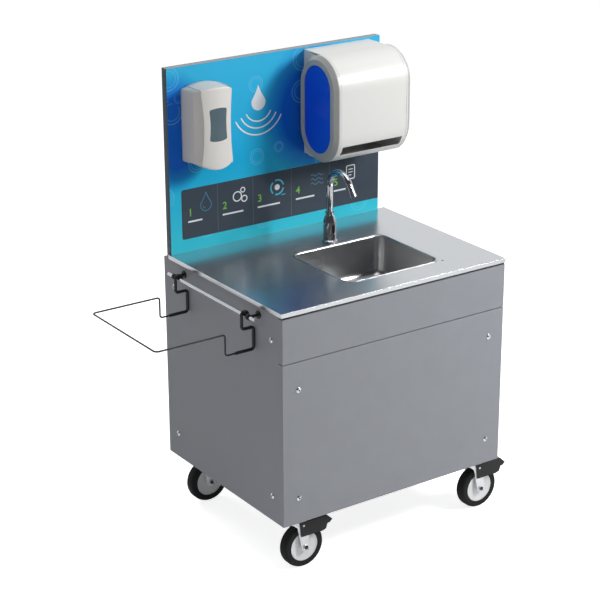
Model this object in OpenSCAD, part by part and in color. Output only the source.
// Mobile handwashing station: a panelled cabinet on four swivel casters, with a
// stainless worktop, an undermounted bowl, a touch-free gooseneck faucet, a
// backboard that carries a soap and a paper towel dispenser, and a wire bag
// holder that hooks over a bar on the left side.
//
// Pieces are drawn from the cabinet's front left bottom corner: X to the right,
// Y towards the back, Z up. placed() then puts the origin on the floor, at the
// middle of the bounding box.

/* [Cabinet] */
// Width over the two side panels
cab_w = 764; // [720:1:900]
// Depth from the front panel's face to the door's face
cab_d = 606; // [590:1:700]
// Height of the front panel and apron together
front_h = 610; // [600:1:700]
// Thickness of the front and side panels
panel_t = 18; // [12:1:22]
// Thickness of the rear door
door_t = 13; // [10:1:16]
// Height of the joint between the front panel and the apron
split_z = 481; // [470:1:500]
// Open joint between the front panel and the apron
joint = 2.5; // [1:0.5:5]
// Shadow gap under the worktop's lip
shadow_gap = 6; // [2:1:12]
// Thickness of the base plate
base_t = 6; // [5:1:10]
// Side of the square frame tube
tube = 40; // [38:1:50]
// Wall of the frame tubes
tube_wall = 2; // [1.5:0.5:4]
// Side of the shelf's runner tubes
runner = 25; // [20:1:30]
// Drop from the frame's top to the equipment shelf
shelf_down = 216; // [200:1:220]
// Thickness of the equipment shelf
shelf_t = 2; // [1.5:0.5:4]

/* [Rear door] */
// Gap around the door
door_gap = 1.5; // [1:0.5:3]
// Height of the door's lower edge
door_z0 = 3; // [1:1:20]
// Length of each hinge
hinge_len = 60; // [40:1:100]
// Outer radius of the hinge knuckles
knuckle_r = 3.5; // [3:0.1:5]
// Radius of the hinge pins
hinge_pin_r = 1.5; // [1:0.1:2]
// Thickness of the hinge leaves
leaf_t = 1.5; // [1:0.1:2]
// Width of each hinge leaf
leaf_w = 26; // [22:1:34]
// Length of the finger slot
slot_len = 90; // [70:1:120]
// Width of the finger slot
slot_w = 24; // [20:1:30]

/* [Worktop] */
// Height of the lip around the worktop
lip_h = 12; // [8:1:20]
// Thickness of the worktop's steel sheet
sheet_t = 2; // [1:0.5:3]
// How far the worktop stands past each side panel
top_over = 3; // [2:0.5:10]
// Distance from the door's face to the worktop's back edge
top_back_in = 29.5; // [28:0.5:40]

/* [Sink] */
// Width of the bowl's opening
sink_w = 323; // [260:1:340]
// Depth of the opening from front to back
sink_l = 286; // [240:1:290]
// Depth of the bowl under the worktop
sink_h = 128; // [90:1:140]
// Wall of the bowl
sink_wall = 1.5; // [1:0.5:3]
// Corner radius of the bowl
sink_corner = 30; // [20:1:50]
// Radius of the bowl's bottom edge
sink_fillet = 24; // [15:1:28]
// Width of the flange under the sheet
sink_flange = 16; // [12:1:18]
// Distance from the right side panel's face to the bowl's middle
sink_right = 321.5; // [290:0.5:340]
// Distance from the front to the bowl's front edge
sink_front = 92; // [85:1:100]
// Radius of the drain's throat
drain_r = 28; // [22:1:32]
// Radius of the drain's flange
drain_flange_r = 40; // [38:1:46]
// Outer radius of the waste pipe
pipe_r = 19; // [16:1:20]
// Wall of the waste pipe
pipe_wall = 3; // [2:0.5:4]

/* [Faucet] */
// Distance from the bowl's back edge to the faucet's axis
faucet_behind = 30; // [28:1:45]
// Radius of the faucet's base ring
faucet_base_r = 23; // [21:1:26]
// Radius of the faucet's body
faucet_body_r = 19.5; // [17:0.5:20]
// Height of the body above the worktop
faucet_body_h = 90; // [80:1:110]
// Radius of the spout tube
spout_r = 9.5; // [8:0.5:11]
// Radius of the gooseneck
neck_bend = 52; // [45:1:60]
// Height of the gooseneck's arc centre above the worktop
neck_top = 168; // [150:1:180]
// Angle that the gooseneck turns through
neck_sweep = 147; // [130:1:180]
// Length of the straight tip after the arc
tip_len = 38; // [25:1:45]
// Radius of the threaded shank
shank_r = 12; // [10:1:14]
// Height of the sensor window's middle above the worktop
sensor_z = 42; // [34:1:46]
// Width of the sensor window
sensor_w = 9; // [7:0.5:11]
// Height of the sensor window
sensor_h = 27; // [20:1:30]

/* [Water system] */
// Width of each tank
tank_w = 290; // [240:1:296]
// Distance from the cabinet's front to the tanks
tank_front = 93; // [86:1:110]
// Distance from the tanks to the cabinet's rear
tank_rear = 123; // [110:1:140]
// Height from the tanks' shoulders to the shelf
tank_room = 70; // [64:1:90]
// Wall of the tanks
tank_wall = 4; // [3:1:6]
// Corner radius of the tanks
tank_corner = 30; // [20:1:50]
// Outer radius of the tank necks
neck_r = 34; // [30:1:38]
// Height of the tank necks
neck_h = 26; // [20:1:30]
// Radius of the pump's barrel
pump_r = 36; // [30:1:40]
// Length of the pump's barrel
pump_len = 120; // [100:1:140]
// Outer radius of the water hoses
hose_r = 7; // [6:0.5:8]
// Wall of the water hoses
hose_wall = 2; // [1.5:0.5:2.5]
// Width of the power pack
pack_w = 165; // [120:1:180]
// Depth of the power pack
pack_l = 140; // [100:1:150]
// Height of the power pack without its lid
pack_h = 84; // [60:1:100]
// Distance from the right side panel and the rear rail to the power pack
pack_in = 24; // [12:1:30]

/* [Backboard] */
// Distance from the left side panel's face to the board's left edge
board_left = 2.5; // [1:0.5:10]
// Distance from the board's right edge to the right side panel's face
board_right = 26.5; // [20:0.5:40]
// Height of the board above the worktop
board_h = 543; // [500:1:600]
// Thickness of the backing board
backer_t = 12; // [9:1:12]
// Thickness of the printed panel
print_t = 12; // [6:1:12]
// Gap between the backing board and the closed door
board_gap = 1; // [0.5:0.5:3]

/* [Soap dispenser] */
// Distance from the board's left edge to the dispenser's middle
soap_in = 110; // [90:0.5:150]
// Height of its lowest point above the worktop
soap_up = 258; // [240:1:280]
// Width at the board
soap_w = 132; // [120:1:150]
// Width of the front face
soap_front_w = 102; // [94:1:110]
// Depth of the sides
soap_side = 82; // [78:1:86]
// Depth at the middle of the front
soap_d = 94; // [90:1:120]
// Overall height
soap_h = 236; // [220:1:260]
// How far the top arches up
soap_arch = 15; // [8:1:20]
// How far the bottom bows down
soap_bow = 11; // [6:1:14]
// Wall of the cover
soap_wall = 2.5; // [2:0.5:4]
// Width of the level window
window_w = 56; // [40:1:66]
// Height of the level window
window_h = 94; // [80:1:120]
// Width of the refill
refill_w = 84; // [70:1:90]
// Depth of the refill
refill_l = 66; // [50:1:68]
// Height of the refill's box
refill_h = 120; // [100:1:125]
// Height of the refill's shelf above the dispenser's lowest point
refill_z = 72; // [60:1:80]
// Radius of the refill's pump
refill_pump_r = 13; // [10:0.5:14]

/* [Towel dispenser] */
// Distance from the board's right edge to the dispenser's middle
towel_in = 157.5; // [150:0.5:180]
// Height of its lowest point above the worktop
towel_up = 224; // [220:1:240]
// Width of the cover
towel_w = 232; // [220:1:240]
// Overall height
towel_h = 313; // [300:1:330]
// Radius of the rounded ends of its side profile
towel_r = 93; // [90:1:100]
// Gap between the side rings and the board
towel_off = 2; // [1:0.5:5]
// Wall of the cover
towel_wall = 3; // [2:0.5:4]
// Thickness of the moulded end discs
disc_t = 6; // [4:1:16]
// Thickness of the side rings
ring_t = 15; // [10:1:20]
// Width of the rings' face and bevel together
ring_w = 27; // [20:1:34]
// Height of the paper slot
paper_slot = 28; // [14:1:30]
// Distance from each end of the cover to the paper slot
slot_in = 9; // [6:1:14]
// Outer radius of a full paper roll
roll_r = 75; // [60:1:78]
// Radius of the roll's core
core_r = 19.5; // [17:0.5:22]
// Width of the paper roll
roll_w = 203; // [190:1:210]

/* [Side bar and bag holder] */
// Radius of the bar
bar_r = 5; // [4:0.5:6]
// Length of the bar
bar_len = 448; // [430:1:470]
// Distance from the side panel to the bar's axis
bar_off = 32; // [28:1:40]
// Distance from the worktop's top down to the bar's axis
bar_down = 36; // [30:1:50]
// Distance from each end of the bar to its standoff
standoff_in = 33; // [10:1:36]
// Radius of the standoffs' roses on the panel
rose_r = 11; // [9:0.5:14]
// Radius of the standoffs' stems
stem_r = 4; // [3:0.5:5]
// Radius of the wire
wire_r = 2.5; // [2:0.5:3]
// Radius of the rubber sleeves on the wire
sleeve_r = 4.5; // [4:0.5:5]
// Distance between the two hooks
hook_gap = 342; // [320:1:360]
// Distance from the side panel to the outer wire
bag_reach = 308; // [260:1:340]
// Distance from the side panel to the holder's upright
bag_step = 95; // [80:1:110]
// Height of the loop below the bar's axis
loop_down = 43; // [38:1:60]
// Depth of the dip below the loop
dip = 61; // [40:1:80]

/* [Casters] */
// Height from the floor to the cabinet's bottom
caster_h = 165.5; // [160:0.5:175]
// Radius of the tyres
wheel_r = 64.5; // [60:0.5:65]
// Width of the tyres
tyre_w = 34.4; // [30:0.2:36]
// Outer radius of the wheel centres
wheel_core_r = 44.5; // [40:0.5:48]
// Radius of the axles
axle_r = 5; // [4:0.5:6]
// How far the axle trails the swivel
trail = 29.5; // [24:0.5:36]
// Distance from the side panel to the swivels
caster_in_x = 64.5; // [62:0.5:80]
// Distance from the front and the rear to the swivels
caster_in_y = 54; // [52:0.5:70]
// Thickness of the caster plates
plate_t = 4; // [3:0.5:6]
// Length of the caster plates along the cabinet's width
plate_w = 92; // [90:1:100]
// Width of the caster plates
plate_l = 80; // [78:1:90]
// Thickness of the fork's legs
leg_t = 3; // [2.5:0.5:4]
// How far the brake pedal reaches past the swivel
pedal_reach = 119.5; // [112:0.5:125]

/* [Fasteners] */
// Radius of the panel screws' heads
screw_head_r = 8; // [6:0.5:10]
// Height of the panel screws' heads
screw_head_h = 3.5; // [2.5:0.5:5]
// Radius of the panel screws' shanks
screw_r = 4; // [3:0.5:4]
// Radius of the hex bolts
bolt_r = 4; // [3:0.5:5]

/* [Hidden] */
$fn = 64;

// Gap between pieces that move past each other, and the radial play of a pin in its hole
gap = 0.3;
play = 0.05;

// Distance that side rails stay back from the corner, for the weld
weld = 1;

// Heights and depths that several pieces share
frame_top = front_h + shadow_gap;
top_z = frame_top + lip_h;
sheet_z = top_z - sheet_t;
top_back = cab_d - top_back_in;
door_y = cab_d - door_t;
backer_y = door_y - board_gap - backer_t;
print_y = backer_y - print_t;
post_back = backer_y;
inner_w = cab_w - 2 * panel_t;
board_x1 = cab_w - board_right;
board_w = board_x1 - board_left;
shelf_z = frame_top - shelf_down;

// Sink and faucet
sink_x = cab_w - sink_right;
sink_y = sink_front + sink_l / 2;
sink_floor = top_z - sink_h;
faucet_y = sink_front + sink_l + faucet_behind;
shank_len = 56;
shank_z = frame_top - shank_len;
tail_len = 45;
tail_z = sink_floor - tail_len;
aerator_h = 9;
sensor_depth = 3;

// Tanks stand on the base plate, the waste tank with its neck under the drain
fresh_x = panel_t + tube + 4;
neck_in = 52;
waste_x = sink_x - neck_in;
tank_y = tank_front;
tank_l = cab_d - tank_front - tank_rear;
tank_h = shelf_z - base_t - tank_room;
neck_z = base_t + tank_h + neck_h;
cap_x = fresh_x + tank_w / 2;
cap_in = 75;
cap_y = tank_y + cap_in;
cap_t = 6;
nipple_h = 12;
nipple_r = hose_r - hose_wall;
nipple_bore = nipple_r - 1.5;
shelf_top = shelf_z + shelf_t;

// Pump, on the shelf behind the sink
pump_x = 120;
pump_foot = 8;
pump_z = shelf_top + pump_r + pump_foot;
outlet_x = pump_x + 0.7 * pump_len;
outlet_z = pump_z + pump_r + 3;

// Panel screws, as distances from the panels' edges
screw_side_in = 51;
screw_low_z = 77;
screw_high_z = 399;
side_screw_y = [panel_t + 36, post_back - 28];
side_screw_z = [76, 538];
screw_len = 14;
board_bolt_low = 130;
board_bolt_high = 26;
backer_drop = 190;

// Soap dispenser's hinge, from the board's face and the dispenser's lowest point
soap_x = board_left + soap_in;
soap_z = top_z + soap_up;
soap_hinge_y = 16;
soap_hinge_z = 16;
soap_pin_r = 2.5;
soap_back = 6;
soap_side_in = 11;
soap_shelf_half = 20;
soap_shelf_d = 24;
refill_y = soap_back + 2 + refill_l / 2;
refill_pump_y = refill_y + 13;
soap_arc_r = (pow(soap_front_w / 2 + 1, 2) + pow(soap_d - soap_side, 2)) / (2 * (soap_d - soap_side));
soap_arch_r = (pow(soap_w / 2, 2) + pow(soap_arch, 2)) / (2 * soap_arch);
soap_bow_r = (pow(soap_front_w / 2, 2) + pow(soap_bow, 2)) / (2 * soap_bow);
window_z = 83;

// Towel dispenser's profile: two arcs of towel_r, joined by straight runs
towel_x = board_x1 - towel_in;
towel_z = top_z + towel_up;
towel_cy = towel_off + towel_r;
arc_low = towel_r;
arc_high = towel_h - towel_r;
plate_in = towel_w / 2 - 4;
towel_hinge_y = 16;
towel_hinge_z = 6;
towel_pin_r = 2.5;
ear_w = 6;
slot_z = 31;
roll_z = 188;
hub_grip = 11;
roller_y = 150;
roller_z = 73;
roller_r = 12;
roller_pin_r = 4;

// Bar and bag holder
bar_z = top_z - bar_down;
bar_y0 = (cab_d - bar_len) / 2 + 1;
bar_mid = bar_y0 + bar_len / 2;
hook_r = bar_r + sleeve_r + gap;
leg_x = -(sleeve_r + gap);
loop_z = bar_z - loop_down;
dip_z = loop_z - dip;
jog_down = 40;
jog_z = bar_z - jog_down;
wire_bend = 8;
corner_bend = 12;
sleeve_end = -64;

// Casters
axle_z = wheel_r - caster_h;
race_r = 22;
race_z = -(plate_t + 10);
crown_z = race_z - gap - 6;
fork_in = tyre_w / 2 + 2.6;
fork_out = fork_in + leg_t;
pedal_in = fork_out + gap;
pedal_t = 2.5;
pivot_x = 22;
pivot_z = -32;
plate_hole_x = plate_w / 2 - 11;
plate_hole_y = plate_l / 2 - 10;
bolt_head_h = 5.3;
rear_swivel_y = cab_d - caster_in_y;
right_swivel_x = cab_w - caster_in_x;

// Rear door's hinge axis
hinge_x = panel_t + door_gap / 2;
hinge_y = cab_d + knuckle_r + gap;
hinge_zs = [110, 470];
door_z1 = frame_top - 3;

// The origin lies at the middle of the bounding box
x_low = -bag_reach - wire_r;
x_high = right_swivel_x + pedal_reach;
y_low = -screw_head_h;
y_high = hinge_y + knuckle_r;

module placed() {
    translate([-(x_low + x_high) / 2, -(y_low + y_high) / 2, caster_h]) children();
}

// A box between two opposite corners
module box(a, b) {
    translate(a) cube(b - a);
}

// A box tube between two opposite corners; sides holds 0 for the axis it runs along
module hollow(a, b, sides) {
    inset = sides * tube_wall - ([1, 1, 1] - sides);
    difference() {
        box(a, b);
        box(a + inset, b - inset);
    }
}

// Cylinders along X and Y, from one end to the other
module rod_x(x0, x1, y, z, r) {
    translate([x0, y, z]) rotate([0, 90, 0]) cylinder(h = x1 - x0, r = r);
}
module rod_y(y0, y1, x, z, r) {
    translate([x, y1, z]) rotate([90, 0, 0]) cylinder(h = y1 - y0, r = r);
}

// A rectangle about the origin with true round corners
module round_rect(w, l, r) {
    square([w - 2 * r, l], center = true);
    square([w, l - 2 * r], center = true);
    for (sx = [-1, 1], sy = [-1, 1])
        translate([sx * (w / 2 - r), sy * (l / 2 - r)]) circle(r = r);
}

// A slot shape about the origin, its round ends of radius r a distance d apart along Y
module stadium(r, d) {
    square([2 * r, d], center = true);
    for (s = [-1, 1]) translate([0, s * d / 2]) circle(r = r);
}

function unit(v) = v / norm(v);
function turn(u, v) = acos(max(-1, min(1, u * v)));

// A round rod through points q, with a bend of radius b[i] at each inner point and
// both its ends made longer by over
module bent_rod(q, b, r, over = 0) {
    n = len(q);
    p = [for (i = [0 : n - 1])
        i == 0 ? q[0] - over * unit(q[1] - q[0])
               : i == n - 1 ? q[i] + over * unit(q[i] - q[i - 1]) : q[i]];
    dir = [for (i = [0 : n - 2]) unit(p[i + 1] - p[i])];
    cut = [for (i = [0 : n - 1])
        (i == 0 || i == n - 1) ? 0 : b[i - 1] * tan(turn(dir[i - 1], dir[i]) / 2)];
    for (i = [0 : n - 2]) {
        a = p[i] + dir[i] * cut[i];
        c = p[i + 1] - dir[i] * cut[i + 1];
        if (norm(c - a) > 0.01) straight_rod(a, c, r);
    }
    for (i = [1 : n - 2]) {
        u = dir[i - 1];
        v = dir[i];
        phi = turn(u, v);
        side = unit(v - u * (u * v));
        mid = p[i] - u * cut[i] + side * b[i - 1];
        z = cross(-side, u);
        multmatrix([[-side[0], u[0], z[0], mid[0]],
                    [-side[1], u[1], z[1], mid[1]],
                    [-side[2], u[2], z[2], mid[2]],
                    [0, 0, 0, 1]])
            rotate_extrude(angle = phi) translate([b[i - 1], 0]) circle(r = r, $fn = 32);
    }
}

// A straight cylinder between two points
module straight_rod(a, c, r) {
    d = c - a;
    translate(a)
        rotate([0, acos(d[2] / norm(d)), atan2(d[1], d[0])])
            cylinder(h = norm(d), r = r, $fn = 32);
}

// Cabinet

module base_plate() {
    color("DimGray") difference() {
        box([panel_t, panel_t, 0], [cab_w - panel_t, door_y - board_gap, base_t]);
        at_swivels() plate_holes() translate([0, 0, -1]) cylinder(h = base_t + 2, r = bolt_r + play);
    }
}

module frame_posts() {
    color("Gray") difference() {
        for (x = [panel_t, cab_w - panel_t - tube], y = [panel_t, post_back - tube])
            hollow([x, y, base_t], [x + tube, y + tube, frame_top], [1, 1, 0]);
        front_screw_places() rod_y(panel_t - 1, panel_t + screw_len, 0, 0, screw_r + play);
        side_screw_places() {
            rod_x(panel_t - 1, panel_t + screw_len, 0, 0, screw_r + play);
            rod_x(cab_w - panel_t - screw_len, cab_w - panel_t + 1, 0, 0, screw_r + play);
        }
        board_bolt_places() rod_y(post_back - 20, post_back + 1, 0, 0, bolt_r + play);
    }
}

// Rails between the posts: along X at the front and the top, along Y at both
// sides, and the two runners that carry the shelf
module frame_rails() {
    x0 = panel_t + tube;
    x1 = cab_w - panel_t - tube;
    y0 = panel_t + tube;
    y1 = post_back - tube;
    color("Gray") {
        for (z = [base_t, split_z - tube / 2, frame_top - tube])
            hollow([x0, panel_t, z], [x1, y0, z + tube], [0, 1, 1]);
        hollow([x0, y1, frame_top - tube], [x1, post_back, frame_top], [0, 1, 1]);
        for (z = [base_t, frame_top - tube]) {
            hollow([panel_t, y0, z], [x0 - weld, y1, z + tube], [1, 0, 1]);
            hollow([x1 + weld, y0, z], [x1 + tube, y1, z + tube], [1, 0, 1]);
        }
        hollow([panel_t, y0, shelf_z - runner], [panel_t + runner, y1, shelf_z], [1, 0, 1]);
        hollow([cab_w - panel_t - runner, y0, shelf_z - runner], [cab_w - panel_t, y1, shelf_z], [1, 0, 1]);
    }
}

module left_panel() {
    color([0.40, 0.41, 0.42]) difference() {
        box([0, panel_t, 0], [panel_t, cab_d, frame_top]);
        side_screw_places() rod_x(-1, panel_t + 1, 0, 0, screw_r + play);
    }
}

module right_panel() {
    color([0.50, 0.51, 0.53]) difference() {
        box([cab_w - panel_t, panel_t, 0], [cab_w, cab_d, frame_top]);
        side_screw_places() rod_x(cab_w - panel_t - 1, cab_w + 1, 0, 0, screw_r + play);
    }
}

module front_panel() {
    color([0.58, 0.59, 0.61]) difference() {
        box([0, 0, 0], [cab_w, panel_t, split_z - joint / 2]);
        front_screw_places() rod_y(-1, panel_t + 1, 0, 0, screw_r + play);
    }
}

module apron_panel() {
    color([0.58, 0.59, 0.61]) box([0, 0, split_z + joint / 2], [cab_w, panel_t, front_h]);
}

module rear_door() {
    x1 = cab_w - panel_t - door_gap;
    color([0.45, 0.46, 0.48]) difference() {
        box([panel_t + door_gap, door_y, door_z0], [x1, cab_d, door_z1]);
        translate([x1 - 2 * slot_w, cab_d + 1, (door_z0 + door_z1) / 2]) rotate([90, 0, 0])
            linear_extrude(door_t + 2) stadium(slot_w / 2, slot_len - slot_w);
    }
}

// One leaf of a hinge: a plate on the face at y = cab_d, on side s of the axis
module leaf(s, z0) {
    far = s * leaf_w;
    near = s * (knuckle_r + gap);
    y0 = cab_d - hinge_y;
    box([min(far, near), y0, z0], [max(far, near), y0 + leaf_t, z0 + hinge_len]);
}

// A knuckle with the tongue that joins it to its leaf
module knuckle(s, z0, z1) {
    y0 = cab_d - hinge_y;
    translate([0, 0, z0]) cylinder(h = z1 - z0, r = knuckle_r);
    box([min(0, s * (knuckle_r + 1)), y0, z0], [max(0, s * (knuckle_r + 1)), y0 + leaf_t, z1]);
}

module door_leaves() {
    third = hinge_len / 3;
    color("Silver") for (z = hinge_zs) translate([hinge_x, hinge_y, 0]) difference() {
        union() {
            leaf(1, z);
            knuckle(1, z + third + gap, z + 2 * third - gap);
        }
        translate([0, 0, z]) cylinder(h = hinge_len, r = hinge_pin_r + play);
    }
}

module hinge_leaves() {
    third = hinge_len / 3;
    x_far = panel_t - 1;
    color("Silver") for (z = hinge_zs) translate([hinge_x, hinge_y, 0]) {
        box([-x_far, cab_d - hinge_y, z], [-knuckle_r - gap, cab_d - hinge_y + leaf_t, z + hinge_len]);
        knuckle(-1, z, z + third);
        knuckle(-1, z + 2 * third, z + hinge_len);
        translate([0, 0, z]) cylinder(h = hinge_len, r = hinge_pin_r);
    }
}

// Places of the screws, as axes to draw a rod on
module front_screw_places() {
    for (x = [screw_side_in, cab_w - screw_side_in], z = [screw_low_z, screw_high_z])
        translate([x, 0, z]) children();
}
module side_screw_places() {
    for (y = side_screw_y, z = side_screw_z) translate([0, y, z]) children();
}
module board_bolt_places() {
    for (x = [panel_t + tube / 2, board_x1 - tube / 2], z = [frame_top - board_bolt_low, frame_top - board_bolt_high])
        translate([x, 0, z]) children();
}

// A button head screw whose head stands on z = 0, with its shank below
module screw() {
    rim = screw_head_h / 3;
    difference() {
        union() {
            cylinder(h = rim, r = screw_head_r);
            translate([0, 0, rim])
                cylinder(h = screw_head_h - rim, r1 = screw_head_r, r2 = 0.55 * screw_head_r);
            translate([0, 0, -panel_t - screw_len + 1]) cylinder(h = panel_t + screw_len, r = screw_r);
        }
        translate([0, 0, screw_head_h - 2]) cylinder(h = 3, r = 3, $fn = 6);
    }
}

module panel_screws() {
    color("Silver") {
        front_screw_places() rotate([90, 0, 0]) screw();
        side_screw_places() {
            rotate([0, -90, 0]) screw();
            translate([cab_w, 0, 0]) rotate([0, 90, 0]) screw();
        }
    }
}

// A hex bolt whose head hangs under z = 0, with its shank above
module hex_bolt(shank) {
    translate([0, 0, -bolt_head_h]) cylinder(h = bolt_head_h, r = 1.85 * bolt_r, $fn = 6);
    translate([0, 0, -1]) cylinder(h = shank + 1, r = bolt_r);
}

module hex_bolts() {
    color("LightGray") {
        at_swivels() plate_holes() translate([0, 0, -plate_t]) hex_bolt(plate_t + base_t);
        board_bolt_places() translate([0, backer_y + backer_t / 2, 0])
            rotate([90, 0, 0]) hex_bolt(backer_t / 2 + 18);
    }
}

// Worktop and sink

module worktop() {
    x0 = -top_over;
    x1 = cab_w + top_over;
    color([0.75, 0.77, 0.79]) difference() {
        box([x0, 0, frame_top], [x1, top_back, top_z]);
        box([x0 + sheet_t, sheet_t, frame_top - 1], [x1 - sheet_t, top_back - sheet_t, sheet_z]);
        translate([sink_x, sink_y, sheet_z - 1])
            linear_extrude(sheet_t + 2) round_rect(sink_w, sink_l, sink_corner);
        translate([sink_x, faucet_y, sheet_z - 1]) cylinder(h = sheet_t + 2, r = shank_r + 1);
    }
}

module worktop_core() {
    edge = sheet_t + gap;
    grow = 2 * (sink_flange + 2);
    color("Peru") difference() {
        box([edge - top_over, edge, frame_top], [cab_w + top_over - edge, top_back - edge, sheet_z]);
        translate([sink_x, sink_y, frame_top - 1])
            linear_extrude(lip_h) round_rect(sink_w + grow, sink_l + grow, sink_corner + grow / 2);
        translate([sink_x, faucet_y, frame_top - 1]) cylinder(h = lip_h, r = shank_r + 1);
    }
}

// Section of the bowl's corner, grown by g outwards: radius along X, height along Y
module bowl_section(g, h) {
    edge = sink_corner + g;
    fillet = sink_fillet + g;
    translate([0, -g]) {
        square([edge - fillet, h + g]);
        translate([0, fillet]) square([edge, h + g - fillet]);
        intersection() {
            translate([edge - fillet, fillet]) circle(r = fillet);
            square([edge, fillet]);
        }
    }
}

// The bowl as a solid: four turned corners, the runs between them and the middle
module bowl_shape(g, h) {
    w = sink_w / 2 - sink_corner;
    l = sink_l / 2 - sink_corner;
    translate([-w, -l, -g]) cube([2 * w, 2 * l, h + g]);
    for (i = [0 : 3]) {
        x = (i == 0 || i == 3) ? w : -w;
        y = i < 2 ? l : -l;
        run = i % 2 == 0 ? 2 * l : 2 * w;
        translate([x, y, 0]) rotate([0, 0, 90 * i]) {
            rotate_extrude(angle = 90) bowl_section(g, h);
            rotate([90, 0, 0]) linear_extrude(run) bowl_section(g, h);
        }
    }
}

module sink_bowl() {
    grow = 2 * sink_flange;
    color([0.70, 0.72, 0.74]) translate([sink_x, sink_y, sink_floor]) difference() {
        union() {
            bowl_shape(sink_wall, sink_h - sheet_t);
            translate([0, 0, sink_h - sheet_t - sink_wall]) linear_extrude(sink_wall)
                round_rect(sink_w + grow, sink_l + grow, sink_corner + sink_flange);
        }
        bowl_shape(0, sink_h);
        translate([0, 0, -sink_wall - 1]) cylinder(h = sink_wall + 2, r = drain_r + play);
    }
}

module sink_drain() {
    color("Silver") translate([sink_x, sink_y, sink_floor]) difference() {
        union() {
            cylinder(h = 1.5, r = drain_flange_r);
            translate([0, 0, -30]) cylinder(h = 30, r = drain_r);
            translate([0, 0, -sink_wall - 9]) cylinder(h = 9, r = drain_flange_r - 3);
            translate([0, 0, tail_z - sink_floor]) cylinder(h = 30, r = pipe_r);
        }
        translate([0, 0, -27]) cylinder(h = 30, r = drain_r - 2);
        translate([0, 0, -tail_len - 1]) cylinder(h = tail_len, r = pipe_r - pipe_wall);
    }
}

module strainer() {
    cup_r = drain_r - 2 - gap;
    color("LightGray") translate([sink_x, sink_y, sink_floor]) {
        difference() {
            union() {
                translate([0, 0, 1.5]) cylinder(h = 1.5, r = drain_flange_r - 4);
                translate([0, 0, -14]) cylinder(h = 16, r = cup_r);
            }
            translate([0, 0, -12.5]) cylinder(h = 18, r = cup_r - 1.5);
            for (i = [0 : 7]) rotate([0, 0, 45 * i]) translate([14, 0, -20])
                cylinder(h = 12, r = 3.5, $fn = 24);
        }
        translate([0, 0, -13]) cylinder(h = 24, r = 3);
        translate([0, 0, 10]) cylinder(h = 6, r = 6);
    }
}

module drain_pipe() {
    collar = 15;
    color("WhiteSmoke") translate([sink_x, sink_y, 0]) difference() {
        union() {
            translate([0, 0, neck_z - 14]) cylinder(h = tail_z - neck_z + 14, r = pipe_r);
            translate([0, 0, tail_z - collar]) cylinder(h = 2 * collar, r = pipe_r + 5);
        }
        translate([0, 0, neck_z - 15]) cylinder(h = tail_z, r = pipe_r - pipe_wall);
        translate([0, 0, tail_z]) cylinder(h = collar + 1, r = pipe_r + play);
    }
}

// Faucet

module faucet_body() {
    shoulder = faucet_body_h - 30;
    color("Silver") translate([sink_x, faucet_y, top_z]) difference() {
        union() {
            rotate_extrude() polygon([[0, 0], [faucet_base_r, 0], [faucet_base_r, 5],
                [faucet_base_r - 2, 7], [faucet_body_r, 8], [faucet_body_r, shoulder],
                [faucet_body_r - 2, shoulder + 8], [spout_r + 4.5, faucet_body_h - 12],
                [spout_r + 3.5, faucet_body_h - 9], [spout_r + 3.5, faucet_body_h], [0, faucet_body_h]]);
            translate([0, 0, shank_z - top_z]) cylinder(h = top_z - shank_z, r = shank_r);
            translate([0, 0, shank_z - top_z - nipple_h]) cylinder(h = nipple_h + 1, r = nipple_r);
            translate([0, 0, -lip_h - 10]) cylinder(h = 10, r = shank_r + 8, $fn = 6);
        }
        translate([0, 0, faucet_body_h - 20]) cylinder(h = 21, r = spout_r + play);
        translate([0, 0, shank_z - top_z - nipple_h - 1]) cylinder(h = top_z, r = nipple_bore);
        sensor_prism(play);
    }
}

// The sensor window's outline, grown by g, as a prism through the body's front
module sensor_prism(g) {
    translate([0, sensor_depth - faucet_body_r, sensor_z]) rotate([90, 0, 0])
        linear_extrude(sensor_depth + 1) stadium(sensor_w / 2 + g, sensor_h - sensor_w);
}

// The gooseneck: a tube up from the body, then an arc over the bowl that ends
// leaning forward
module neck(r, past) {
    translate([0, 0, faucet_body_h - 20 - past]) cylinder(h = neck_top - faucet_body_h + 20 + past, r = r);
    translate([0, -neck_bend, neck_top]) rotate([90, 0, 90])
        rotate_extrude(angle = neck_sweep + past) translate([neck_bend, 0]) circle(r = r, $fn = 48);
}

module faucet_spout() {
    color("Silver") translate([sink_x, faucet_y, top_z]) difference() {
        neck(spout_r, 0);
        neck(spout_r - 2, 2);
    }
}

// Straight tip that goes on from the arc's end, with the aerator's ring at its mouth
module aerator() {
    color("Silver") translate([sink_x, faucet_y - neck_bend, top_z + neck_top])
        rotate([neck_sweep - 180, 0, 0]) translate([0, -neck_bend, -tip_len]) difference() {
            union() {
                cylinder(h = tip_len, r = spout_r);
                cylinder(h = aerator_h, r = spout_r + 0.8);
            }
            translate([0, 0, -1]) cylinder(h = tip_len + 2, r = spout_r - 2);
        }
}

module faucet_sensor() {
    color([0.05, 0.05, 0.06]) translate([sink_x, faucet_y, top_z]) intersection() {
        sensor_prism(0);
        translate([0, 0, sensor_z - sensor_h]) cylinder(h = 2 * sensor_h, r = faucet_body_r);
    }
}

// Water system

module shelf() {
    color("Silver") difference() {
        box([panel_t, panel_t + tube + gap, shelf_z],
            [cab_w - panel_t, post_back - tube - gap, shelf_top]);
        translate([sink_x, sink_y, shelf_z - 1]) cylinder(h = shelf_t + 2, r = pipe_r + 7);
        translate([cap_x, cap_y, shelf_z - 1]) cylinder(h = shelf_t + 2, r = hose_r + 4);
    }
}

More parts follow.
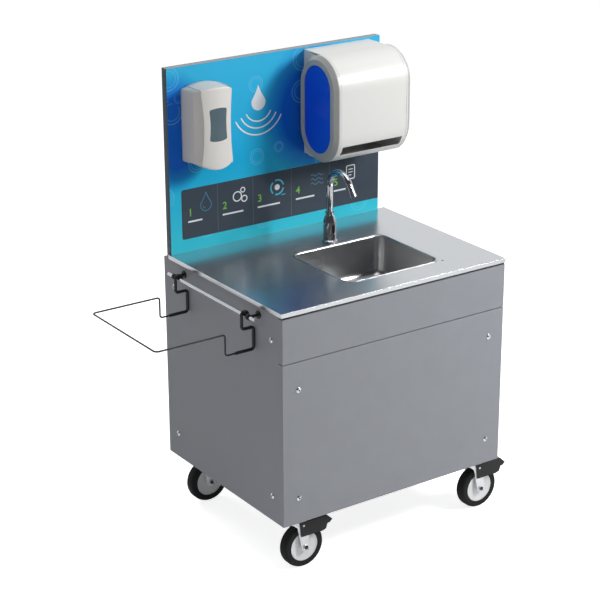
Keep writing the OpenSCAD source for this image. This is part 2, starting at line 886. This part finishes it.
// A hollow tank with a round neck at nx, ny from its front left corner
module tank(nx, ny) {
    difference() {
        union() {
            translate([tank_w / 2, tank_l / 2, 0])
                linear_extrude(tank_h) round_rect(tank_w, tank_l, tank_corner);
            translate([nx, ny, tank_h - 1]) cylinder(h = neck_h + 1, r = neck_r);
        }
        translate([tank_w / 2, tank_l / 2, tank_wall]) linear_extrude(tank_h - 2 * tank_wall)
            round_rect(tank_w - 2 * tank_wall, tank_l - 2 * tank_wall, tank_corner - tank_wall);
        translate([nx, ny, tank_h - tank_wall - 1])
            cylinder(h = neck_h + tank_wall + 2, r = neck_r - tank_wall);
    }
}

module fresh_tank() {
    color([0.85, 0.90, 0.95]) translate([fresh_x, tank_y, base_t])
        tank(cap_x - fresh_x, cap_y - tank_y);
}

module waste_tank() {
    color([0.75, 0.75, 0.72]) translate([waste_x, tank_y, base_t])
        tank(sink_x - waste_x, sink_y - tank_y);
}

// Screw cap with the pick-up tube below it and the hose's nipple on top
module fresh_cap() {
    tube_z = base_t + tank_wall + 8;
    color("RoyalBlue") translate([cap_x, cap_y, 0]) difference() {
        union() {
            translate([0, 0, neck_z]) cylinder(h = cap_t, r = neck_r + 4);
            translate([0, 0, neck_z - 10]) cylinder(h = 10, r = neck_r - tank_wall - gap);
            translate([0, 0, tube_z]) cylinder(h = neck_z - tube_z, r = hose_r);
            translate([0, 0, neck_z]) cylinder(h = cap_t + nipple_h, r = nipple_r);
        }
        translate([0, 0, base_t]) cylinder(h = neck_z, r = nipple_bore);
    }
}

module pump() {
    color([0.12, 0.12, 0.13]) {
        rod_x(pump_x, pump_x + pump_len, faucet_y, pump_z, pump_r);
        rod_x(pump_x - nipple_h, pump_x + 1, faucet_y, pump_z, nipple_r);
        translate([outlet_x, faucet_y, pump_z]) cylinder(h = outlet_z - pump_z, r = hose_r + 2);
        translate([outlet_x, faucet_y, pump_z])
            cylinder(h = outlet_z + nipple_h - pump_z, r = nipple_r);
        box([pump_x + 10, faucet_y - pump_r + 4, shelf_top],
            [pump_x + pump_len - 10, faucet_y + pump_r - 4, pump_z - pump_r / 2]);
    }
}

module power_pack() {
    x1 = cab_w - panel_t - pack_in;
    y1 = post_back - tube - pack_in / 2;
    lid = pack_in / 3;
    color([0.16, 0.17, 0.18]) {
        box([x1 - pack_w, y1 - pack_l, shelf_top], [x1, y1, shelf_top + pack_h]);
        box([x1 - pack_w + lid, y1 - pack_l + lid, shelf_top + pack_h],
            [x1 - lid, y1 - lid, shelf_top + pack_h + 6]);
    }
}

// Suction hose from the fresh tank's cap to the pump, and delivery hose from the
// pump to the faucet's shank
module water_hoses() {
    bend = 20;
    far_x = pump_x - 40;
    rise_z = shank_z - 35;
    suction = [[cap_x, cap_y, neck_z + cap_t], [cap_x, cap_y, pump_z], [far_x, cap_y, pump_z],
               [far_x, faucet_y, pump_z], [pump_x, faucet_y, pump_z]];
    delivery = [[outlet_x, faucet_y, outlet_z], [outlet_x, faucet_y, rise_z],
                [sink_x, faucet_y, rise_z], [sink_x, faucet_y, shank_z]];
    color("SlateGray") {
        difference() {
            bent_rod(suction, [bend, bend, bend], hose_r);
            bent_rod(suction, [bend, bend, bend], nipple_r, 1);
        }
        difference() {
            bent_rod(delivery, [bend, 12], hose_r);
            bent_rod(delivery, [bend, 12], nipple_r, 1);
        }
    }
}

// Backboard

module backer_board() {
    y1 = backer_y + backer_t;
    color([0.55, 0.57, 0.60]) difference() {
        union() {
            box([board_left, backer_y, frame_top + gap], [board_x1, y1, top_z + board_h]);
            box([panel_t + 2, backer_y, frame_top - backer_drop], [board_x1, y1, frame_top + 1]);
        }
        board_bolt_places() {
            rod_y(backer_y - 1, y1 + 1, 0, 0, bolt_r + play);
            rod_y(y1 - backer_t / 2, y1 + 1, 0, 0, 1.85 * bolt_r + 1);
        }
    }
}

module print_panel() {
    color([0.10, 0.55, 0.78])
        box([board_left, print_y, top_z], [board_x1, backer_y, top_z + board_h]);
}

// Soap dispenser, drawn about its middle: y = 0 on the board, z = 0 at its lowest point

// Plan of the dispenser, drawn in by g: tapering sides and a bowed front
module soap_plan(g) {
    half = soap_w / 2 - g;
    front = soap_front_w / 2 - g;
    intersection() {
        polygon([[-half, 2 + g], [half, 2 + g], [half, 0], [front, -soap_side], [front, -soap_d - 1],
                 [-front, -soap_d - 1], [-front, -soap_side], [-half, 0]]);
        union() {
            translate([0, soap_arc_r - soap_d]) circle(r = soap_arc_r - g, $fn = 128);
            translate([-soap_w, -soap_side + 20]) square([2 * soap_w, soap_side]);
        }
    }
}

// Front view of the dispenser, drawn in by g: an arched top and a bowed bottom
module soap_face(g) {
    intersection() {
        translate([0, soap_h - soap_arch_r]) circle(r = soap_arch_r - g, $fn = 128);
        union() {
            translate([0, soap_bow_r]) circle(r = soap_bow_r - g, $fn = 128);
            translate([-soap_w, soap_h / 4]) square([2 * soap_w, soap_h]);
        }
    }
}

// The two views cut to each other
module soap_block(g) {
    intersection() {
        linear_extrude(soap_h) soap_plan(g);
        translate([0, 5, 0]) rotate([90, 0, 0]) linear_extrude(soap_d + 10) soap_face(g);
    }
}

module window_prism(g) {
    translate([0, -soap_side + 8 * soap_wall, window_z + window_h / 2]) rotate([90, 0, 0])
        linear_extrude(soap_d) round_rect(window_w - 2 * g, window_h - 2 * g, 8);
}

module at_soap() {
    translate([soap_x, print_y, soap_z]) children();
}

module soap_base() {
    lug_x = soap_w / 2 - 16;
    color("Gainsboro") at_soap() {
        box([-soap_w / 2 + soap_side_in, -soap_back, soap_hinge_z + 4],
            [soap_w / 2 - soap_side_in, 0, soap_h - soap_arch - 10]);
        for (s = [-1, 1]) {
            box([min(s * lug_x, s * (lug_x + 5)), -soap_hinge_y - 4, soap_hinge_z - 4],
                [max(s * lug_x, s * (lug_x + 5)), 0, soap_hinge_z + 8]);
            rod_x(min(s * lug_x, s * (lug_x + 11)), max(s * lug_x, s * (lug_x + 11)),
                  -soap_hinge_y, soap_hinge_z, soap_pin_r);
        }
        box([-soap_shelf_half, -soap_shelf_d, refill_z - 6], [soap_shelf_half, 0, refill_z]);
    }
}

module soap_cover() {
    ear_x = soap_w / 2 - 11 + gap;
    color([0.93, 0.92, 0.89]) at_soap() difference() {
        union() {
            difference() {
                soap_block(0);
                soap_block(soap_wall);
                box([-soap_w, -soap_hinge_y - 14, -1], [soap_w, 5, soap_hinge_z + 2]);
                box([-soap_w, -gap, -1], [soap_w, 6, soap_h + 1]);
                box([-22, -refill_pump_y - 24, -1], [22, -soap_hinge_y - 13, 30]);
                window_prism(0);
            }
            for (s = [-1, 1])
                rod_x(min(s * ear_x, s * (ear_x + 6.5)), max(s * ear_x, s * (ear_x + 6.5)),
                      -soap_hinge_y, soap_hinge_z, 5);
        }
        rod_x(-soap_w, soap_w, -soap_hinge_y, soap_hinge_z, soap_pin_r + play);
    }
}

module soap_window() {
    color([0.45, 0.50, 0.55]) at_soap() intersection() {
        difference() {
            soap_block(0.3);
            soap_block(soap_wall);
        }
        window_prism(0.15);
    }
}

// Refill pouch box on the base's shelf, with its pump and nozzle above the outlet
module soap_refill() {
    color([0.90, 0.93, 0.85]) at_soap() {
        translate([0, -refill_y, refill_z]) linear_extrude(refill_h)
            round_rect(refill_w, refill_l, 10);
        translate([0, -refill_pump_y, 14]) cylinder(h = refill_z - 13, r = refill_pump_r);
        translate([0, -refill_pump_y, 6]) cylinder(h = 9, r = 5);
    }
}

// Towel dispenser, drawn about its middle: y = 0 on the board, z = 0 at its lowest point

// Side profile drawn in the plane of X and Y (depth, height), in by g: a stadium
// whose back half is squared off to the board
module towel_side(g) {
    translate([-towel_cy, towel_h / 2]) stadium(towel_r - g, arc_high - arc_low);
    translate([-towel_cy, g]) square([towel_cy - g, towel_h - 2 * g]);
}

// Extrudes a side profile along X, from x0 to x1
module along_x(x0, x1) {
    translate([x0, 0, 0]) rotate([90, 0, 90]) linear_extrude(x1 - x0) children();
}

module at_towel() {
    translate([towel_x, print_y, towel_z]) children();
}

module towel_chassis() {
    color([0.90, 0.90, 0.89]) at_towel() difference() {
        union() {
            box([-towel_w / 2, -6, towel_wall + 1], [towel_w / 2, 0, towel_h - towel_wall - 1]);
            for (s = [-1, 1]) {
                a = s > 0 ? plate_in : -towel_w / 2 - gap;
                along_x(a, a + 4 + gap) intersection() {
                    towel_side(towel_wall + gap);
                    translate([-towel_hinge_y, towel_hinge_z])
                        circle(r = towel_h - towel_wall - towel_hinge_z - gap, $fn = 128);
                }
                b = s > 0 ? towel_w / 2 + gap : -towel_w / 2 - disc_t;
                along_x(b, b + disc_t - gap)
                    translate([-towel_cy, towel_h / 2]) stadium(towel_r, arc_high - arc_low);
                rod_x(min(s * (plate_in + 1), s * (plate_in - ear_w)),
                      max(s * (plate_in + 1), s * (plate_in - ear_w)),
                      -towel_hinge_y, towel_hinge_z, towel_pin_r);
                rod_x(min(s * (plate_in + 1), s * (roll_w / 2 - hub_grip)),
                      max(s * (plate_in + 1), s * (roll_w / 2 - hub_grip)),
                      -towel_cy, roll_z, core_r - play);
                rod_x(min(s * (plate_in + 1), s * (roll_w / 2 + gap)),
                      max(s * (plate_in + 1), s * (roll_w / 2 + gap)),
                      -towel_cy, roll_z, core_r + 6);
            }
        }
        rod_x(-plate_in - 3, plate_in + 3, -roller_y, roller_z, roller_pin_r + play);
    }
}

module towel_cover() {
    half = towel_w / 2 - gap;
    ear = plate_in - gap;
    color([0.94, 0.94, 0.93]) at_towel() difference() {
        union() {
            difference() {
                along_x(-half, half) towel_side(0);
                along_x(-half - 1, half + 1) towel_side(towel_wall);
                box([-towel_w, -gap, -1], [towel_w, 1, towel_h + 1]);
                box([-towel_w, -towel_wall - 1, towel_wall], [towel_w, 1, towel_h - towel_wall]);
                box([-towel_w, -towel_hinge_y, -1], [towel_w, 1, towel_hinge_z]);
                for (s = [-1, 1])
                    box([min(s * ear, s * towel_w), -towel_hinge_y - 6, -1],
                        [max(s * ear, s * towel_w), 1, towel_hinge_z]);
            }
            for (s = [-1, 1])
                rod_x(min(s * ear, s * (ear - ear_w)), max(s * ear, s * (ear - ear_w)),
                      -towel_hinge_y, towel_hinge_z, towel_hinge_z - gap);
        }
        rod_x(-towel_w, towel_w, -towel_hinge_y, towel_hinge_z, towel_pin_r + play);
        box([-half + slot_in, -towel_cy - towel_r - 1, slot_z],
            [half - slot_in, -towel_cy - 40, slot_z + paper_slot]);
    }
}

// A ring's section, from its inner radius outwards, with a bevelled outer edge
module ring_section() {
    inner = towel_r - ring_w;
    polygon([[inner, 0], [towel_r, 0], [towel_r, 3], [towel_r - 11, ring_t], [inner, ring_t]]);
}

// One side ring, on the plane of X and Y with its thickness along Z
module ring() {
    run = arc_high - arc_low;
    for (s = [-1, 1]) {
        translate([0, s * run / 2, 0]) rotate([0, 0, s > 0 ? 0 : 180])
            rotate_extrude(angle = 180, $fn = 96) ring_section();
        translate([0, run / 2, 0]) rotate([90, 0, 0]) linear_extrude(run)
            mirror([s > 0 ? 0 : 1, 0]) ring_section();
    }
}

module towel_rings() {
    face = towel_w / 2 + disc_t;
    color([0.62, 0.62, 0.60]) at_towel() for (s = [-1, 1])
        translate([s * face, -towel_cy, towel_h / 2]) mirror([s > 0 ? 0 : 1, 0, 0])
            rotate([90, 0, 90]) ring();
}

module towel_lenses() {
    face = towel_w / 2 + disc_t;
    color([0.08, 0.20, 0.68]) at_towel() for (s = [-1, 1])
        translate([s > 0 ? face : -face - ring_t + 3, -towel_cy, towel_h / 2])
            rotate([90, 0, 90]) linear_extrude(ring_t - 3)
                stadium(towel_r - ring_w - gap, arc_high - arc_low);
}

module towel_roll() {
    half = roll_w / 2;
    color("White") at_towel() difference() {
        rod_x(-half, half, -towel_cy, roll_z, roll_r);
        rod_x(-half - 1, half + 1, -towel_cy, roll_z, core_r);
    }
}

module feed_roller() {
    color([0.2, 0.2, 0.21]) at_towel() {
        rod_x(-plate_in + 1, plate_in - 1, -roller_y, roller_z, roller_r);
        rod_x(-plate_in - 2.5, plate_in + 2.5, -roller_y, roller_z, roller_pin_r);
    }
}

// Side bar and bag holder

module side_bar() {
    color("Gainsboro") rod_y(bar_y0, bar_y0 + bar_len, -bar_off, bar_z, bar_r);
}

module bar_standoffs() {
    color([0.10, 0.10, 0.11])
        for (y = [bar_y0 + standoff_in, bar_y0 + bar_len - standoff_in]) difference() {
            union() {
                rod_x(-bar_off, 0, y, bar_z, stem_r);
                rod_x(-3, 0, y, bar_z, rose_r);
                rod_y(y - 5, y + 5, -bar_off, bar_z, bar_r + 3);
            }
            rod_y(y - 6, y + 6, -bar_off, bar_z, bar_r + play);
        }
}

// Points of one hook and its dip, at y, from the hook's end to the loop
function hook_path(y) = [
    [-bar_off + hook_r, y, bar_z - 6],
    [-bar_off + hook_r, y, bar_z + hook_r],
    [-bar_off - hook_r, y, bar_z + hook_r],
    [-bar_off - hook_r, y, jog_z],
    [leg_x, y, jog_z],
    [leg_x, y, dip_z],
    [-bag_step, y, dip_z],
    [-bag_step, y, loop_z],
    [-bag_reach, y, loop_z]];

hook_bends = [hook_r, hook_r, wire_bend, wire_bend, wire_bend, wire_bend, wire_bend];

function backwards(v) = [for (i = [len(v) - 1 : -1 : 0]) v[i]];

module bag_ring() {
    y0 = bar_mid - hook_gap / 2;
    y1 = bar_mid + hook_gap / 2;
    path = concat(hook_path(y1), backwards(hook_path(y0)));
    bends = concat(hook_bends, [corner_bend, corner_bend], backwards(hook_bends));
    color([0.07, 0.07, 0.08]) bent_rod(path, bends, wire_r);
}

// Rubber sleeves over the hooks, the uprights and the start of the dips
module bag_sleeves() {
    color([0.04, 0.04, 0.04]) for (s = [-1, 1]) {
        full = hook_path(bar_mid + s * hook_gap / 2);
        part = concat([for (i = [0 : 5]) full[i]], [[sleeve_end, full[6][1], dip_z]]);
        bends = [for (i = [0 : 4]) hook_bends[i]];
        difference() {
            bent_rod(part, bends, sleeve_r);
            bent_rod(part, bends, wire_r, 1);
        }
    }
}

// Casters, drawn about the swivel's axis with z = 0 at the cabinet's bottom

module at_swivels() {
    for (x = [caster_in_x, right_swivel_x], y = [caster_in_y, rear_swivel_y])
        translate([x, y, 0]) children();
}

module plate_holes() {
    for (sx = [-1, 1], sy = [-1, 1])
        translate([sx * plate_hole_x, sy * plate_hole_y, 0]) children();
}

module caster_plates() {
    color("Silver") at_swivels() {
        difference() {
            translate([0, 0, -plate_t]) linear_extrude(plate_t) round_rect(plate_w, plate_l, 8);
            plate_holes() translate([0, 0, -plate_t - 1]) cylinder(h = plate_t + 2, r = bolt_r + play);
        }
        translate([0, 0, race_z]) cylinder(h = -race_z - plate_t, r = race_r);
        translate([0, 0, crown_z - 2]) cylinder(h = race_z - crown_z + 3, r = 6);
        translate([0, 0, crown_z - 4]) cylinder(h = 4 - gap, r = 10);
    }
}

// A leg's outline in the plane of X and Z, from the crown down to the axle
module leg_outline() {
    polygon([[-20, race_z - gap], [-20, crown_z + 1], [-10, crown_z - 4], [3, crown_z - 16],
             [trail - 13, axle_z], [trail + 13, axle_z], [trail + 9, crown_z - 20],
             [trail + 2, crown_z], [20, race_z - gap]]);
    translate([trail, axle_z]) circle(r = 13);
}

// Fork with its axle bolt; stubs carries a brake pedal's pivots
module fork(stubs) {
    color("Silver") {
        difference() {
            union() {
                translate([0, 0, crown_z]) cylinder(h = race_z - gap - crown_z, r = fork_out);
                for (y = [-fork_out, fork_in])
                    translate([0, y + leg_t, 0]) rotate([90, 0, 0]) linear_extrude(leg_t) leg_outline();
                if (stubs) for (s = [-1, 1])
                    rod_y(min(s * fork_in, s * (pedal_in + pedal_t)),
                          max(s * fork_in, s * (pedal_in + pedal_t)), pivot_x, pivot_z, 3);
            }
            translate([0, 0, crown_z - 1]) cylinder(h = 20, r = 6 + play);
            rod_y(-fork_out - 1, fork_out + 1, trail, axle_z, axle_r + play);
        }
        rod_y(-fork_out - 0.1, fork_out + 0.1, trail, axle_z, axle_r);
        for (s = [-1, 1]) translate([trail, s * (fork_out + 2.1), axle_z])
            rotate([90, 0, 0]) cylinder(h = 4, r = 8, center = true, $fn = 6);
    }
}

module hub() {
    half = tyre_w / 2 + 1.6;
    rim = tyre_w / 2 - 1.7;
    web_r = wheel_core_r - 3.5;
    color([0.80, 0.80, 0.79]) translate([trail, 0, axle_z]) rotate([90, 0, 0]) rotate_extrude()
        polygon([[axle_r + play, -half], [13, -half], [13, -rim + 3], [web_r - 3, -rim + 1.5],
                 [web_r, -rim], [wheel_core_r, -rim], [wheel_core_r, rim], [web_r, rim],
                 [web_r - 3, rim - 1.5], [13, rim - 3], [13, half], [axle_r + play, half]]);
}

module tyre() {
    half = tyre_w / 2;
    color([0.06, 0.06, 0.06]) translate([trail, 0, axle_z]) rotate([90, 0, 0]) rotate_extrude()
        polygon([[wheel_core_r, -half + 1], [wheel_core_r + 2, -half], [wheel_r - 7, -half],
                 [wheel_r - 3, -half + 2], [wheel_r - 1, -half + 5], [wheel_r, -half + 9],
                 [wheel_r, half - 9], [wheel_r - 1, half - 5], [wheel_r - 3, half - 2],
                 [wheel_r - 7, half], [wheel_core_r + 2, half], [wheel_core_r, half - 1]]);
}

// Brake pedal: two cheeks outside the fork, joined by a plate that runs along the
// top and down the toe, with a shoe over the tread
module pedal() {
    top = -21;
    toe_z = -38;
    shoe_x0 = 60;
    shoe_x1 = 84;
    color([0.09, 0.09, 0.10]) difference() {
        union() {
            for (y = [-pedal_in - pedal_t, pedal_in])
                translate([0, y + pedal_t, 0]) rotate([90, 0, 0]) linear_extrude(pedal_t)
                    polygon([[8, top - 1], [34, top], [pedal_reach - 18, top], [pedal_reach, toe_z],
                             [pedal_reach - 9, toe_z - 8], [pedal_reach - 17, toe_z - 9],
                             [pedal_reach - 22, toe_z - 24], [pedal_reach - 34, toe_z - 28],
                             [14, toe_z - 27], [10, -29]]);
            translate([0, pedal_in, 0]) rotate([90, 0, 0]) linear_extrude(2 * pedal_in)
                polygon([[36, top], [pedal_reach - 18, top], [pedal_reach, toe_z],
                         [pedal_reach - 9, toe_z - 8], [pedal_reach - 12, toe_z - 5],
                         [pedal_reach - 6, toe_z + 0.5], [pedal_reach - 19.5, top - 3], [36, top - 3]]);
            box([shoe_x0, -12, top - 14], [shoe_x1, 12, top - 1]);
        }
        rod_y(-pedal_in - pedal_t - 1, pedal_in + pedal_t + 1, pivot_x, pivot_z, 3 + play);
    }
}

module at_swivel(x, y) {
    translate([x, y, 0]) children();
}

placed() base_plate();
placed() frame_posts();
placed() frame_rails();
placed() left_panel();
placed() right_panel();
placed() front_panel();
placed() apron_panel();
placed() rear_door();
placed() door_leaves();
placed() hinge_leaves();
placed() panel_screws();
placed() hex_bolts();
placed() worktop();
placed() worktop_core();
placed() sink_bowl();
placed() sink_drain();
placed() strainer();
placed() drain_pipe();
placed() faucet_body();
placed() faucet_spout();
placed() aerator();
placed() faucet_sensor();
placed() shelf();
placed() fresh_tank();
placed() waste_tank();
placed() fresh_cap();
placed() pump();
placed() power_pack();
placed() water_hoses();
placed() backer_board();
placed() print_panel();
placed() soap_base();
placed() soap_cover();
placed() soap_window();
placed() soap_refill();
placed() towel_chassis();
placed() towel_cover();
placed() towel_rings();
placed() towel_lenses();
placed() towel_roll();
placed() feed_roller();
placed() side_bar();
placed() bar_standoffs();
placed() bag_ring();
placed() bag_sleeves();
placed() caster_plates();
placed() at_swivel(caster_in_x, caster_in_y) fork(true);  // fork_front_left
placed() at_swivel(right_swivel_x, caster_in_y) fork(true);  // fork_front_right
placed() at_swivel(caster_in_x, rear_swivel_y) fork(false);  // fork_rear_left
placed() at_swivel(right_swivel_x, rear_swivel_y) fork(false);  // fork_rear_right
placed() at_swivel(caster_in_x, caster_in_y) hub();  // hub_front_left
placed() at_swivel(right_swivel_x, caster_in_y) hub();  // hub_front_right
placed() at_swivel(caster_in_x, rear_swivel_y) hub();  // hub_rear_left
placed() at_swivel(right_swivel_x, rear_swivel_y) hub();  // hub_rear_right
placed() at_swivel(caster_in_x, caster_in_y) tyre();  // tyre_front_left
placed() at_swivel(right_swivel_x, caster_in_y) tyre();  // tyre_front_right
placed() at_swivel(caster_in_x, rear_swivel_y) tyre();  // tyre_rear_left
placed() at_swivel(right_swivel_x, rear_swivel_y) tyre();  // tyre_rear_right
placed() at_swivel(caster_in_x, caster_in_y) pedal();  // pedal_left
placed() at_swivel(right_swivel_x, caster_in_y) pedal();  // pedal_right
